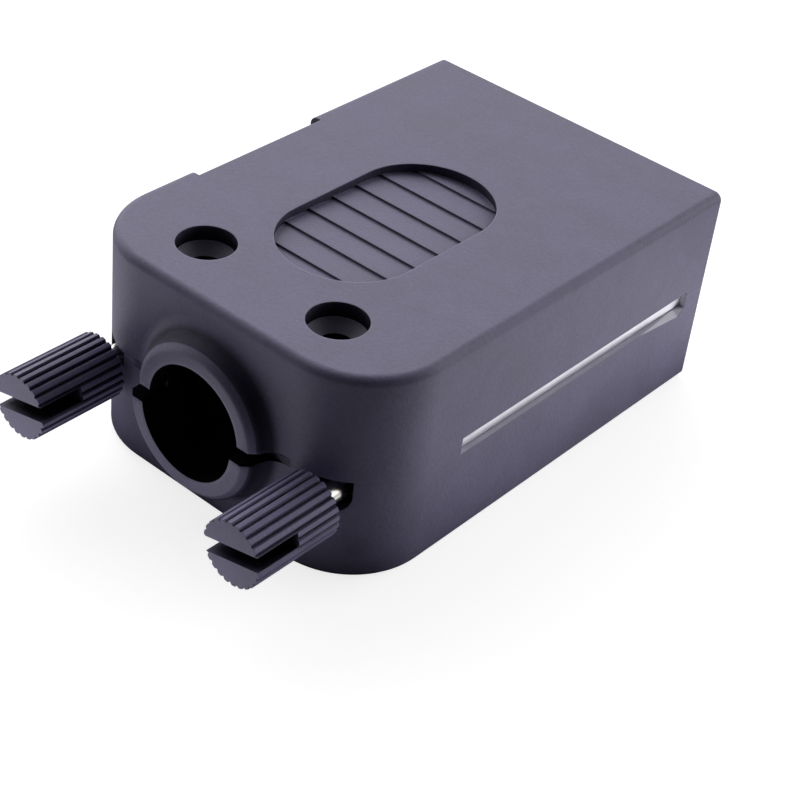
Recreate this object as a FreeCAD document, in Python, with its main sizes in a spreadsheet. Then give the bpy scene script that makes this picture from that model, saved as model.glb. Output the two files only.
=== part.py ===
"""Nine way D-sub plug in a two part plastic hood with long captive thumbscrews.

Millimetres. X runs across the hood, +Y points to the mating end, +Z is up.
The origin is the centre of the hood's underside.
"""
import FreeCAD, Part
import math
import os
import re
import Sketcher

Vector = FreeCAD.Vector

# Driving dimensions, each with what it means on the plug
DIMENSIONS = {
    "shell_length": (48.0, "hood, from the cable end to the mating end"),
    "corner_radius": (8.0, "upright corners at the cable end"),
    "edge_round": (0.8, "rounding along the top and bottom edges"),
    "side_wall": (1.0, "side walls"),
    "end_wall": (1.5, "wall at the cable end"),
    "floor_wall": (1.2, "floor of the lower shell"),
    "roof_wall": (1.8, "roof of the upper shell"),
    "under_flange": (1.25, "from the floor up to the flange"),
    "over_flange": (3.85, "from the flange up to the roof"),
    "screw_drop": (1.6, "thumbscrews and contacts below the split"),
    "flange_side": (1.495, "hood beyond each side of the flange's groove"),
    "bore_diameter": (10.2, "cable entry"),
    "collar_wall": (1.95, "collar round the cable entry"),
    "collar_reach": (2.1, "how far the upper half of the collar stands out"),
    "collar_lead": (0.8, "the lower half of the collar stands out further than the upper half"),
    "collar_rim": (0.7, "bevel of the collar's rim"),
    "collar_flare": (1.7, "hollow rounding where the collar meets the hood"),
    "flare_margin": (0.1, "least flat between that rounding and the hood's edges"),
    "collar_gap": (0.4, "each half of the collar stops this short of the split"),
    "boss_gap": (0.895, "boss of a cover screw to the ring of a thumbscrew"),
    "cover_inset": (6.3, "cover screw holes from the cable end"),
    "cover_hole": (3.0, "clearance hole for a cover screw"),
    "cover_wall": (0.6, "boss round that hole"),
    "cover_head": (5.3, "counterbore for a cover screw's head"),
    "head_wall": (0.95, "thick boss round the counterbore"),
    "head_depth": (1.4, "depth of the counterbore"),
    "seat_depth": (0.9, "depth of the conical seat under the counterbore"),
    "head_boss_depth": (1.6, "thick boss below the roof"),
    "pilot_hole": (2.3, "hole that a cover screw cuts its thread in"),
    "pilot_depth": (8.0, "depth of that hole"),
    "grip_width": (13.0, "grip recess, side to side"),
    "grip_length": (22.6, "grip recess, end to end"),
    "grip_start": (9.5, "grip recess from the cable end"),
    "grip_depth": (0.9, "deepest point of each grip step"),
    "grip_step": (0.2, "height of each grip step"),
    "grip_pitch": (3.1, "from one grip step to the next"),
    "grip_lead": (2.1, "first grip step from the end of the recess"),
    "relief_start": (13.5, "side relief from the cable end"),
    "relief_length": (15.7, "side relief, along the hood"),
    "relief_depth": (1.2, "side relief, into the wall"),
    "relief_wall": (0.9, "wall behind the side relief and below it"),
    "relief_gap": (0.85, "that wall above the screen liner"),
    "slot_gap": (0.3, "side slot from the front rib"),
    "slot_margin": (0.1, "side slot from the flange's rear rib"),
    "slot_low": (1.05, "side slot, below the split"),
    "slot_high": (0.65, "side slot, above the split"),
    "slot_wall": (0.55, "wall beside the screen liner"),
    "scoop_run": (7.4, "dip in the slot's lower edge, from where it starts to the slot's end"),
    "scoop_rise": (0.8, "lowest point of that dip from the slot's end"),
    "scoop_drop": (0.75, "depth of that dip at the outside"),
    "liner_sheet": (0.3, "sheet of the screen liner"),
    "liner_gap": (0.05, "screen liner to the walls"),
    "liner_lap": (0.5, "screen liner above the side slot"),
    "liner_bend": (0.6, "inner radius of the liner's bends"),
    "lip_wall": (0.6, "lip in front of the flange"),
    "lip_cover": (0.7, "how much of the flange the lip covers above and below"),
    "flange_play": (0.1, "flange to its groove"),
    "back_rib": (0.8, "rib behind the flange"),
    "flange_sheet": (0.45, "sheet of each flange"),
    "flange_end": (2.91, "flange beyond each thumbscrew"),
    "flange_rise": (2.07, "flange above and below the D shape"),
    "flange_corner": (1.0, "corners of the flange"),
    "screw_gap": (3.535, "thumbscrews from the wide side's ends of the D shape"),
    "contact_pitch": (2.77, "between contacts in a row"),
    "row_pitch": (2.84, "between the two rows"),
    "contact_edge": (3.42, "last contact of the wide row to the D shape's corner, before rounding"),
    "row_edge": (2.76, "rows to the top and bottom of the D shape"),
    "d_slope": (10.0, "slope of the D shape's sides, in degrees"),
    "d_corner": (2.6, "inside corners of the D shape"),
    "d_reach": (5.9, "D shaped shell in front of the flange"),
    "d_root": (0.3, "bevel where the D shaped shell leaves its flange"),
    "skirt_depth": (4.0, "skirt behind the rear flange"),
    "insulator_play": (0.05, "insulators to the shells"),
    "insulator_lead": (0.4, "front insulator in front of the flange"),
    "front_block": (3.0, "front insulator, front to back"),
    "rear_block": (3.0, "rear insulator, front to back"),
    "pin_diameter": (1.02, "contact pin"),
    "pin_nose": (0.3, "bevel at the pin's tip"),
    "pin_reach": (5.2, "contact pin in front of the flange"),
    "pin_play": (0.04, "contact to its hole"),
    "tail_width": (1.7, "folded tail of a contact, each way"),
    "tail_wall": (0.3, "sheet of that tail"),
    "cup_reach": (3.8, "contact behind the rear insulator"),
    "cup_depth": (3.0, "open trough that takes the wire"),
    "thread_play": (0.105, "thread to the eyelet round it"),
    "eyelet_wall": (0.425, "tube of a flange eyelet"),
    "eyelet_lip": (0.2, "rolled head of a flange eyelet beyond its tube"),
    "eyelet_rim": (0.3, "thickness of that head"),
    "eyelet_play": (0.05, "eyelet to the holes in the flanges"),
    "shank_diameter": (2.2, "thumbscrew shank"),
    "thread_diameter": (2.84, "threaded end of the thumbscrew"),
    "thread_length": (5.4, "length of that end"),
    "tip_reach": (5.5, "thumbscrew tip in front of the hood"),
    "tip_chamfer": (0.5, "bevel at the thumbscrew tip"),
    "shank_play": (0.08, "shank to the ribs that carry it"),
    "notch_play": (0.7, "shank to its opening in the cable end"),
    "knob_diameter": (6.1, "knob over its ridges"),
    "knob_socket": (4.0, "shank inside the knob"),
    "knob_web": (0.6, "knob between that socket and the screwdriver slot"),
    "knob_play": (0.02, "shank to the knob"),
    "flute_count": (24.0, "flutes round a knob"),
    "flute_width": (0.44, "each flute, across its mouth"),
    "flute_depth": (0.24, "depth of each flute"),
    "driver_slot": (1.4, "width of the screwdriver slot"),
    "driver_depth": (4.4, "depth of the screwdriver slot"),
    "driver_turn": (13.0, "screwdriver slot from level, in degrees"),
    "ring_place": (10.2, "front of the retaining ring from the cable end"),
    "ring_sheet": (0.6, "thickness of the retaining ring"),
    "ring_stand": (0.9, "retaining ring beyond the shank"),
    "ring_grip": (0.3, "mouth of the retaining ring narrower than its groove"),
    "ring_play": (0.05, "retaining ring to its groove"),
    "groove_depth": (0.3, "ring's groove in the shank"),
    "push_in": (0.8, "thumbscrew travel towards the mating end"),
    "pull_out": (4.9, "thumbscrew travel towards the cable end"),
    "stop_play": (0.1, "ring or knob to its stop at the ends of that travel"),
    "rib_sheet": (1.0, "ribs that carry and stop the thumbscrews"),
    "rib_inside": (2.7, "rib from the thumbscrew towards the middle"),
    "rib_outside": (2.8, "rear rib from the thumbscrew towards the side"),
}

doc = FreeCAD.newDocument("DSubPlug")
sheet = doc.addObject("Spreadsheet::Sheet", "Sizes")
for row, (alias, (number, meaning)) in enumerate(DIMENSIONS.items(), start=1):
    sheet.set(f"A{row}", alias)
    sheet.set(f"B{row}", str(number))
    sheet.set(f"C{row}", meaning)
    sheet.setAlias(f"B{row}", alias)
doc.recompute()

# Widths, heights and planes that several pieces share, as formulas of those dimensions
D_WIDTH = "(4 * contact_pitch + 2 * contact_edge)"
D_HEIGHT = "(row_pitch + 2 * row_edge)"
SCREW_SIDE = f"({D_WIDTH} / 2 + screw_gap)"
FLANGE_HALF = f"({SCREW_SIDE} + flange_end)"
FLANGE_TALL = f"({D_HEIGHT} / 2 + flange_rise)"
SIDE = f"({FLANGE_HALF} + flange_play + flange_side)"
INNER_SIDE = f"({SIDE} - side_wall)"
SCREW_HEIGHT = f"(floor_wall + under_flange + {FLANGE_TALL})"
SPLIT = f"({SCREW_HEIGHT} + screw_drop)"
TOP = f"({SCREW_HEIGHT} + {FLANGE_TALL} + over_flange + roof_wall)"

CABLE_END = "(-shell_length / 2)"
MATING_END = "(shell_length / 2)"
LIP_BACK = f"({MATING_END} - lip_wall)"
FLANGE_FRONT = f"({LIP_BACK} - flange_play)"
FLANGE_JOINT = f"({FLANGE_FRONT} - flange_sheet)"
FLANGE_BACK = f"({FLANGE_JOINT} - flange_sheet)"
GROOVE_BACK = f"({FLANGE_BACK} - flange_play)"
CAVITY_FRONT = f"({GROOVE_BACK} - back_rib)"
CAVITY_BACK = f"({CABLE_END} + end_wall)"
INSULATOR_FRONT = f"({FLANGE_FRONT} + insulator_lead)"
INSULATOR_JOINT = f"({INSULATOR_FRONT} - front_block)"
INSULATOR_BACK = f"({INSULATOR_JOINT} - rear_block)"

EYELET_BORE = "(thread_diameter / 2 + thread_play)"
EYELET_TUBE = f"({EYELET_BORE} + eyelet_wall)"
EYELET_HEAD = f"({EYELET_TUBE} + eyelet_lip)"
EYELET_ROOM = f"({EYELET_HEAD} + flange_play)"

RING_FRONT = f"({CABLE_END} + ring_place)"
RING_BACK = f"({RING_FRONT} - ring_sheet)"
RING_OUTSIDE = "(shank_diameter / 2 + ring_stand)"
FRONT_STOP = f"({RING_FRONT} + push_in + stop_play)"
REAR_STOP = f"({RING_BACK} - pull_out - stop_play)"
KNOB_FACE = f"({CABLE_END} - push_in - stop_play)"
KNOB_LENGTH = "(knob_socket + knob_web + driver_depth)"

COVER_BOSS = "(cover_hole / 2 + cover_wall)"
COVER_SIDE = f"({SCREW_SIDE} - {RING_OUTSIDE} - boss_gap - {COVER_BOSS})"
COVER_ALONG = f"({CABLE_END} + cover_inset)"

SLOT_START = f"({FRONT_STOP} + rib_sheet + slot_gap)"
SLOT_END = f"({CAVITY_FRONT} - slot_margin)"
SLOT_FLOOR = f"({SPLIT} - slot_low)"
SLOT_ROOF = f"({SPLIT} + slot_high)"
LINER_SIDE = f"({SIDE} - slot_wall - liner_gap)"
LINER_TOP = f"({SLOT_ROOF} + liner_lap)"
RELIEF_FLOOR = f"({LINER_TOP} + relief_gap + relief_wall)"


def formula(text):
    """Point each dimension in a formula to its cell in the sheet."""
    return re.sub(r"[a-z]\w*_\w+", lambda word: "Sizes." + word.group(0), text)


def value(text):
    """Work out a formula as a number."""
    result = sheet.evalExpression(formula(text).replace("Sizes.", ""))
    return float(getattr(result, "Value", result))


def new_body(label):
    body = doc.addObject("PartDesign::Body", label)
    body.Label = label
    return body


def place(body, x="0", y="0", z="0"):
    """Tie a body's place to the sheet."""
    for letter, text in zip("xyz", (x, y, z)):
        body.setExpression(f"Placement.Base.{letter}", formula(text))


def sketch_on(body, name, role, level="0", shift_x="0", shift_y="0"):
    """Start a sketch on one of the body's own planes, lifted to a level."""
    plane = next(item for item in body.Origin.OriginFeatures if item.Role == role)
    sketch = body.newObject("Sketcher::SketchObject", name)
    sketch.AttachmentSupport = (plane, "")
    sketch.MapMode = "FlatFace"
    sketch.setExpression("AttachmentOffset.Base.x", formula(shift_x))
    sketch.setExpression("AttachmentOffset.Base.y", formula(shift_y))
    sketch.setExpression("AttachmentOffset.Base.z", formula(level))
    return sketch


def level_sketch(body, name, height="0"):
    """A sketch seen from above, at a height."""
    return sketch_on(body, name, "XY_Plane", height)


def cross_sketch(body, name, along="0"):
    """A sketch across the hood, X to the right and Z up, at a place along Y."""
    return sketch_on(body, name, "XZ_Plane", f"-({along})")


def side_sketch(body, name, across="0"):
    """A sketch along the hood, Y to the right and Z up, at a place along X."""
    return sketch_on(body, name, "YZ_Plane", across)


def bind(sketch, kind, targets, text):
    """Add a constraint and tie it to the sheet."""
    index = sketch.addConstraint(Sketcher.Constraint(kind, *targets, value(text)))
    sketch.setExpression(f"Constraints[{index}]", formula(text))


def pin_point(sketch, geometry, point, x, y):
    bind(sketch, "DistanceX", (-1, 1, geometry, point), x)
    bind(sketch, "DistanceY", (-1, 1, geometry, point), y)


def corner_cut(spot, before, after, radius):
    """Where a rounding starts, passes and ends at one corner of an outline."""
    back = (before - spot).normalize()
    ahead = (after - spot).normalize()
    half = back.getAngle(ahead) / 2
    inward = (back + ahead).normalize()
    reach = radius / math.tan(half)
    middle = spot + inward * (radius / math.sin(half) - radius)
    return spot + back * reach, middle, spot + ahead * reach


def outline(sketch, corners):
    """A closed outline tied to the sheet; a corner with a third formula is rounded."""
    spots = [Vector(value(corner[0]), value(corner[1]), 0) for corner in corners]
    count = len(corners)
    arcs = {}
    for index, corner in enumerate(corners):
        if len(corner) == 3:
            after = spots[(index + 1) % count]
            arcs[index] = corner_cut(spots[index], spots[index - 1], after, value(corner[2]))
    first = sketch.GeometryCount
    for index in range(count):
        after = (index + 1) % count
        start = arcs[index][2] if index in arcs else spots[index]
        end = arcs[after][0] if after in arcs else spots[after]
        sketch.addGeometry(Part.LineSegment(start, end), False)
    for index, corner in enumerate(corners):
        line = first + index
        line_before = first + (index - 1) % count
        if index not in arcs:
            sketch.addConstraint(Sketcher.Constraint("Coincident", line_before, 2, line, 1))
            pin_point(sketch, line, 1, corner[0], corner[1])
            continue
        arc = sketch.addGeometry(Part.Arc(*arcs[index]), False)
        mark = sketch.addGeometry(Part.Point(spots[index]), True)
        sketch.addConstraint(Sketcher.Constraint("Tangent", line_before, 2, arc, 1))
        sketch.addConstraint(Sketcher.Constraint("Tangent", arc, 2, line, 1))
        sketch.addConstraint(Sketcher.Constraint("PointOnObject", mark, 1, line_before))
        sketch.addConstraint(Sketcher.Constraint("PointOnObject", mark, 1, line))
        pin_point(sketch, mark, 1, corner[0], corner[1])
        bind(sketch, "Radius", (arc,), corner[2])


def rectangle(sketch, left, right, low, high):
    outline(sketch, [(left, low), (right, low), (right, high), (left, high)])


def circle(sketch, x, y, radius):
    centre = Vector(value(x), value(y), 0)
    index = sketch.addGeometry(Part.Circle(centre, Vector(0, 0, 1), value(radius)), False)
    pin_point(sketch, index, 3, x, y)
    bind(sketch, "Radius", (index,), radius)


def d_corners(grow="0"):
    """The rounded corners of the D shape, wide side up, grown evenly by an amount."""
    half_wide = f"({D_WIDTH} / 2 + ({grow}) / tan(45 - d_slope / 2))"
    lean = f"(({D_HEIGHT} + 2 * ({grow})) * tan(d_slope))"
    half_narrow = f"({half_wide} - {lean})"
    low = f"({SCREW_HEIGHT} - {D_HEIGHT} / 2 - ({grow}))"
    high = f"({SCREW_HEIGHT} + {D_HEIGHT} / 2 + ({grow}))"
    radius = f"(d_corner + ({grow}))"
    return [
        (f"-{half_narrow}", low, radius),
        (half_narrow, low, radius),
        (half_wide, high, radius),
        (f"-{half_wide}", high, radius),
    ]


def pad(body, sketch, length, reverse=False, both_ways=False):
    feature = body.newObject("PartDesign::Pad", sketch.Name + "_pad")
    feature.Profile = sketch
    feature.setExpression("Length", formula(length))
    feature.Reversed = reverse
    feature.Midplane = both_ways
    doc.recompute()
    return feature


def pocket(body, sketch, length, reverse=False, both_ways=False):
    """Cut a sketch into the body, and make sure that it removed something."""
    before = body.Shape.Volume
    feature = body.newObject("PartDesign::Pocket", sketch.Name + "_pocket")
    feature.Profile = sketch
    feature.setExpression("Length", formula(length))
    feature.Reversed = reverse
    feature.Midplane = both_ways
    doc.recompute()
    if not body.Shape.Volume < before:
        raise RuntimeError(f"{feature.Name} removed nothing")
    return feature


def revolve(body, sketch, angle=360.0, reverse=False, cut=False):
    """Turn a sketch about its own upright axis, as material or as a cut."""
    before = body.Shape.Volume if body.Tip else 0.0
    kind = "PartDesign::Groove" if cut else "PartDesign::Revolution"
    feature = body.newObject(kind, sketch.Name + "_turned")
    feature.Profile = sketch
    feature.ReferenceAxis = (sketch, ["V_Axis"])
    feature.Angle = angle
    feature.Reversed = reverse
    doc.recompute()
    if cut and not body.Shape.Volume < before:
        raise RuntimeError(f"{feature.Name} removed nothing")
    return feature


def pick_edges(body, test):
    """Names of the body's edges that pass a test."""
    return [f"Edge{index}" for index, edge in enumerate(body.Shape.Edges, start=1) if test(edge)]


def near(first, second, tolerance=1e-4):
    return abs(first - second) < tolerance


def spans(box, **limits):
    """Whether a box lies at the given limits, such as ZMin=0 and ZMax=0."""
    return all(near(getattr(box, name), limit) for name, limit in limits.items())


def is_arc(edge, radius):
    return isinstance(edge.Curve, Part.Circle) and near(edge.Curve.Radius, radius)


def round_edges(body, name, test, radius):
    """Round the edges that pass a test."""
    tip = body.Tip
    names = pick_edges(body, test)
    if not names:
        raise RuntimeError(f"{name} found no edge")
    feature = body.newObject("PartDesign::Fillet", name)
    feature.Base = (tip, names)
    feature.setExpression("Radius", formula(radius))
    doc.recompute()
    return feature


def bevel_edges(body, name, test, size):
    """Bevel the edges that pass a test."""
    tip = body.Tip
    feature = body.newObject("PartDesign::Chamfer", name)
    feature.Base = (tip, pick_edges(body, test))
    feature.setExpression("Size", formula(size))
    doc.recompute()
    return feature


def upright(edge):
    box = edge.BoundBox
    return near(box.XLength, 0) and near(box.YLength, 0) and box.ZLength > 0


def lengthwise(edge):
    box = edge.BoundBox
    return near(box.XLength, 0) and near(box.ZLength, 0) and box.YLength > 0


# Shapes that both shells share


def shell_block(body, base, height):
    """The shell's outline with its two round corners at the cable end."""
    plan = level_sketch(body, "plan", base)
    outline(plan, [
        (f"-{SIDE}", CABLE_END, "corner_radius"),
        (SIDE, CABLE_END, "corner_radius"),
        (SIDE, MATING_END),
        (f"-{SIDE}", MATING_END),
    ])
    pad(body, plan, height)


def shell_collar(body, upper):
    """Half of the cable collar, flared into the cable end."""
    ring = level_sketch(body, "collar", SPLIT)
    inside = "(bore_diameter / 2)"
    outside = "(bore_diameter / 2 + collar_wall)"
    rim = f"({CABLE_END} - collar_reach)" if upper else f"({CABLE_END} - collar_reach - collar_lead)"
    rectangle(ring, inside, outside, rim, CAVITY_BACK)
    revolve(body, ring, 180.0, reverse=upper)
    rim_level = value(rim)
    radius = value(outside)
    back = value(CABLE_END)
    tall = f"({TOP} - {SPLIT})" if upper else SPLIT
    above = f"({tall} - edge_round - {outside} - flare_margin)"
    beside = f"({SIDE} - corner_radius - {outside} - flare_margin)"
    round_edges(
        body,
        "collar_flare",
        lambda e: is_arc(e, radius) and spans(e.BoundBox, YMin=back, YMax=back),
        f"min(collar_flare; {above}; {beside})",
    )
    bevel_edges(
        body,
        "collar_rim",
        lambda e: is_arc(e, radius) and spans(e.BoundBox, YMin=rim_level, YMax=rim_level),
        "collar_rim",
    )
    bore = level_sketch(body, "bore", SPLIT)
    rectangle(bore, "0", inside, f"{rim} - 1", f"{CAVITY_BACK} + 1")
    revolve(body, bore, 180.0, reverse=upper, cut=True)


def shell_edge_round(body, level):
    """Round the outer edges at the top or the underside, but not at the mating end."""
    front = value(MATING_END)
    round_edges(
        body,
        "outer_edges",
        lambda e: spans(e.BoundBox, ZMin=level, ZMax=level) and not near(e.BoundBox.YMin, front),
        "edge_round",
    )


def shell_cavity(body, depth, upper):
    """Hollow the shell out from the split."""
    hollow = level_sketch(body, "cavity", SPLIT)
    radius = "(corner_radius - side_wall)"
    outline(hollow, [
        (f"-{INNER_SIDE}", CAVITY_BACK, radius),
        (INNER_SIDE, CAVITY_BACK, radius),
        (INNER_SIDE, CAVITY_FRONT),
        (f"-{INNER_SIDE}", CAVITY_FRONT),
    ])
    pocket(body, hollow, depth, reverse=upper)


def split_collar(body, upper):
    """Open the narrow gap between the two halves of the collar."""
    gap = level_sketch(body, "collar_gap", SPLIT)
    reach = "(bore_diameter / 2 + collar_wall + collar_flare)"
    rectangle(gap, f"-{reach}", reach, f"{CABLE_END} - collar_reach - collar_lead - 1", CABLE_END)
    pocket(body, gap, "collar_gap", reverse=upper)


def cover_circles(body, name, level, radius):
    """A level sketch with a circle at each of the two cover screws."""
    sketch = level_sketch(body, name, level)
    for across in (f"(-{COVER_SIDE})", COVER_SIDE):
        circle(sketch, across, COVER_ALONG, radius)
    return sketch


def open_mating_end(body, upper):
    """Rear window, flange groove and front window of the mating end."""
    skirt = "(flange_sheet + flange_play)"
    steps = [
        ("back_window", CAVITY_FRONT, GROOVE_BACK, f"({D_WIDTH} / 2 + {skirt})",
         f"({D_HEIGHT} / 2 + {skirt})"),
        ("groove", GROOVE_BACK, LIP_BACK, f"({FLANGE_HALF} + flange_play)",
         f"({FLANGE_TALL} + flange_play)"),
        ("front_window", LIP_BACK, MATING_END, f"({SCREW_SIDE} + {EYELET_ROOM})",
         f"({FLANGE_TALL} - lip_cover)"),
    ]
    for name, start, end, wide, high in steps:
        window = cross_sketch(body, name, start)
        low = SPLIT if upper else f"({SCREW_HEIGHT} - {high})"
        top = f"({SCREW_HEIGHT} + {high})" if upper else SPLIT
        rectangle(window, f"-{wide}", wide, low, top)
        pocket(body, window, f"{end} - {start}")


def screw_channel(body, name, radius, start, end, upper=False):
    """A round channel for both thumbscrews, open to the split."""
    for number, centre in enumerate((f"(-{SCREW_SIDE})", SCREW_SIDE)):
        bed = cross_sketch(body, f"{name}_bed_{number}", start)
        circle(bed, centre, SCREW_HEIGHT, radius)
        pocket(body, bed, f"{end} - {start}")
        if upper:
            continue
        mouth = cross_sketch(body, f"{name}_mouth_{number}", start)
        rectangle(
            mouth, f"{centre} - {radius}", f"{centre} + {radius}", SCREW_HEIGHT, f"{SPLIT} + 1"
        )
        pocket(body, mouth, f"{end} - {start}")


def side_slot(body, low, high):
    """The slot through both side walls, between two heights."""
    slot = side_sketch(body, "side_slot")
    rectangle(slot, SLOT_START, SLOT_END, low, high)
    pocket(body, slot, f"2 * {SIDE} + 2", both_ways=True)


def liner_seat(body, low, high):
    """The shallow seat for the screen liner along the inside of both side walls."""
    seat = cross_sketch(body, "liner_seat", f"{SLOT_START} - liner_gap")
    outer = f"({SIDE} - slot_wall)"
    rectangle(seat, f"-{outer}", outer, low, high)
    pocket(body, seat, f"{CAVITY_FRONT} - {SLOT_START} + liner_gap")


def slot_scoops(body):
    """A slanted dip at the outside of each slot's lower edge, deepest near the mating end."""
    start = f"({SLOT_END} - scoop_run)"
    above = f"({SPLIT} + slot_low)"
    for number, side in enumerate((f"(-{SIDE})", SIDE)):
        scoop = side_sketch(body, f"scoop_{number}", side)
        outline(scoop, [
            (start, SLOT_FLOOR),
            (f"{SLOT_END} - scoop_rise", f"{SLOT_FLOOR} - scoop_drop"),
            (SLOT_END, SLOT_FLOOR),
            (SLOT_END, above),
            (start, above),
        ])
        dip = pocket(body, scoop, "slot_wall", reverse=number == 0)
        dip.setExpression("TaperAngle", formula("-atan(scoop_drop / slot_wall)"))
        doc.recompute()


def make_lower_shell():
    """Bottom half: carries the thumbscrews and takes the cover screws' threads."""
    body = new_body("lower_shell")
    shell_block(body, "0", SPLIT)
    shell_collar(body, upper=False)
    shell_edge_round(body, 0.0)
    shell_cavity(body, f"{SPLIT} - floor_wall", upper=False)
    liner_seat(body, "floor_wall", f"{SPLIT} + 1")
    half_floor = "(floor_wall / 2)"
    bosses = cover_circles(body, "bosses", half_floor, COVER_BOSS)
    pad(body, bosses, f"{SPLIT} - {half_floor}")
    pilots = cover_circles(body, "pilots", SPLIT, "pilot_hole / 2")
    pocket(body, pilots, "pilot_depth")

    ribs = level_sketch(body, "ribs", half_floor)
    inside = f"({SCREW_SIDE} - rib_inside)"
    outside = f"({SCREW_SIDE} + rib_outside)"
    wall = f"({INNER_SIDE} + side_wall / 2)"
    rear = (f"({REAR_STOP} - rib_sheet)", REAR_STOP)
    front = (FRONT_STOP, f"({FRONT_STOP} + rib_sheet)")
    rectangle(ribs, inside, outside, *rear)
    rectangle(ribs, f"-{outside}", f"-{inside}", *rear)
    rectangle(ribs, inside, wall, *front)
    rectangle(ribs, f"-{wall}", f"-{inside}", *front)
    pad(body, ribs, f"{SPLIT} - {half_floor}")

    shank = "(shank_diameter / 2)"
    screw_channel(body, "wall_notch", f"({shank} + notch_play)", f"({CABLE_END} - 1)", rear[0])
    screw_channel(body, "rib_notch", f"({shank} + shank_play)", rear[0], front[1])
    open_mating_end(body, upper=False)
    screw_channel(body, "eyelet_notch", EYELET_ROOM, CAVITY_FRONT, GROOVE_BACK)
    split_collar(body, upper=False)
    side_slot(body, SLOT_FLOOR, f"{SPLIT} + 1")
    slot_scoops(body)
    return body


def cover_screw_holes(body):
    """Counterbore, conical seat and clearance hole for each cover screw."""
    for number, across in enumerate((f"(-{COVER_SIDE})", COVER_SIDE)):
        profile = sketch_on(body, f"cover_hole_{number}", "XZ_Plane", f"-({COVER_ALONG})", across)
        step = f"({TOP} - head_depth)"
        outline(profile, [
            ("0", f"{TOP} + 1"),
            ("cover_head / 2", f"{TOP} + 1"),
            ("cover_head / 2", step),
            ("cover_hole / 2", f"{step} - seat_depth"),
            ("cover_hole / 2", f"{SPLIT} - 1"),
            ("0", f"{SPLIT} - 1"),
        ])
        revolve(body, profile, cut=True)


def make_grip_cutter():
    """The stepped hollow of the grip recess, as a body of its own."""
    cutter = doc.addObject("PartDesign::Body", "grip_cutter")
    start = f"({CABLE_END} + grip_start)"
    end = f"({start} + grip_length)"
    profile = side_sketch(cutter, "grip_steps")
    steps = int((value("grip_length") - value("grip_lead")) / value("grip_pitch")) + 1
    shallow = f"({TOP} - grip_depth + grip_step)"
    deep = f"({TOP} - grip_depth)"
    corners = [(start, f"{TOP} + 1"), (start, shallow)]
    for number in range(steps):
        riser = f"({start} + grip_lead + {number} * grip_pitch)"
        corners.append((riser, deep))
        corners.append((riser, shallow))
    corners.append((end, deep))
    corners.append((end, f"{TOP} + 1"))
    outline(profile, corners)
    pad(cutter, profile, "grip_width", both_ways=True)
    for name, edge_at in (("grip_near_end", start), ("grip_far_end", end)):
        at = value(edge_at)
        round_edges(
            cutter, name, lambda e: upright(e) and near(e.BoundBox.YMax, at), "grip_width / 2 - 0.01"
        )
    return cutter


def side_relief(body):
    """The shallow relief in the left wall, with a thicker wall behind it."""
    start = f"({CABLE_END} + relief_start)"
    end = f"({start} + relief_length)"
    low = RELIEF_FLOOR
    backing = side_sketch(body, "relief_backing", f"-{INNER_SIDE}")
    under_roof = f"({TOP} - roof_wall / 2)"
    rectangle(
        backing, f"{start} - relief_wall", f"{end} + relief_wall", f"{low} - relief_wall", under_roof
    )
    depth = "(relief_depth + relief_wall - side_wall)"
    pad(body, backing, depth)
    relief = side_sketch(body, "relief", f"-{SIDE} - 1")
    rectangle(relief, start, end, low, f"{TOP} + 1")
    pocket(body, relief, "relief_depth + 1", reverse=True)


def make_upper_shell():
    """Top half: screw holes, stepped grip and side relief."""
    body = new_body("upper_shell")
    shell_block(body, SPLIT, f"{TOP} - {SPLIT}")
    shell_collar(body, upper=True)
    shell_edge_round(body, value(TOP))
    shell_cavity(body, f"{TOP} - {SPLIT} - roof_wall", upper=True)
    liner_seat(body, f"{SPLIT} - 1", f"{LINER_TOP} + liner_gap")
    half_roof = "(roof_wall / 2)"
    bosses = cover_circles(body, "bosses", SPLIT, COVER_BOSS)
    pad(body, bosses, f"{TOP} - {SPLIT} - {half_roof}")
    head_base = f"({TOP} - roof_wall - head_boss_depth)"
    head_bosses = cover_circles(body, "head_bosses", head_base, "cover_head / 2 + head_wall")
    pad(body, head_bosses, f"head_boss_depth + {half_roof}")
    cover_screw_holes(body)
    open_mating_end(body, upper=True)
    screw_channel(body, "eyelet_notch", EYELET_ROOM, CAVITY_FRONT, GROOVE_BACK, upper=True)
    split_collar(body, upper=True)
    side_slot(body, SPLIT, SLOT_ROOF)
    side_relief(body)
    cut = body.newObject("PartDesign::Boolean", "grip_recess")
    cut.Type = "Cut"
    cut.Group = [make_grip_cutter()]
    doc.recompute()
    return body


def make_screen_liner():
    """Folded sheet in the lower shell, seen as a bright strip in the side slots."""
    body = new_body("screen_liner")
    profile = cross_sketch(body, "channel", SLOT_START)
    outer = LINER_SIDE
    inner = f"({outer} - liner_sheet)"
    low = "(floor_wall + liner_gap)"
    high = LINER_TOP
    outline(profile, [
        (f"-{outer}", low),
        (outer, low),
        (outer, high),
        (inner, high),
        (inner, f"{low} + liner_sheet"),
        (f"-{inner}", f"{low} + liner_sheet"),
        (f"-{inner}", high),
        (f"-{outer}", high),
    ])
    pad(body, profile, f"{CAVITY_FRONT} - liner_gap - {SLOT_START}", reverse=True)
    floor = value(low)
    round_edges(
        body, "outer_bends", lambda e: lengthwise(e) and near(e.BoundBox.ZMin, floor),
        "liner_bend + liner_sheet",
    )
    top_of_floor = value(f"{low} + liner_sheet")
    round_edges(
        body, "inner_bends", lambda e: lengthwise(e) and near(e.BoundBox.ZMin, top_of_floor),
        "liner_bend",
    )
    return body


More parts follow.
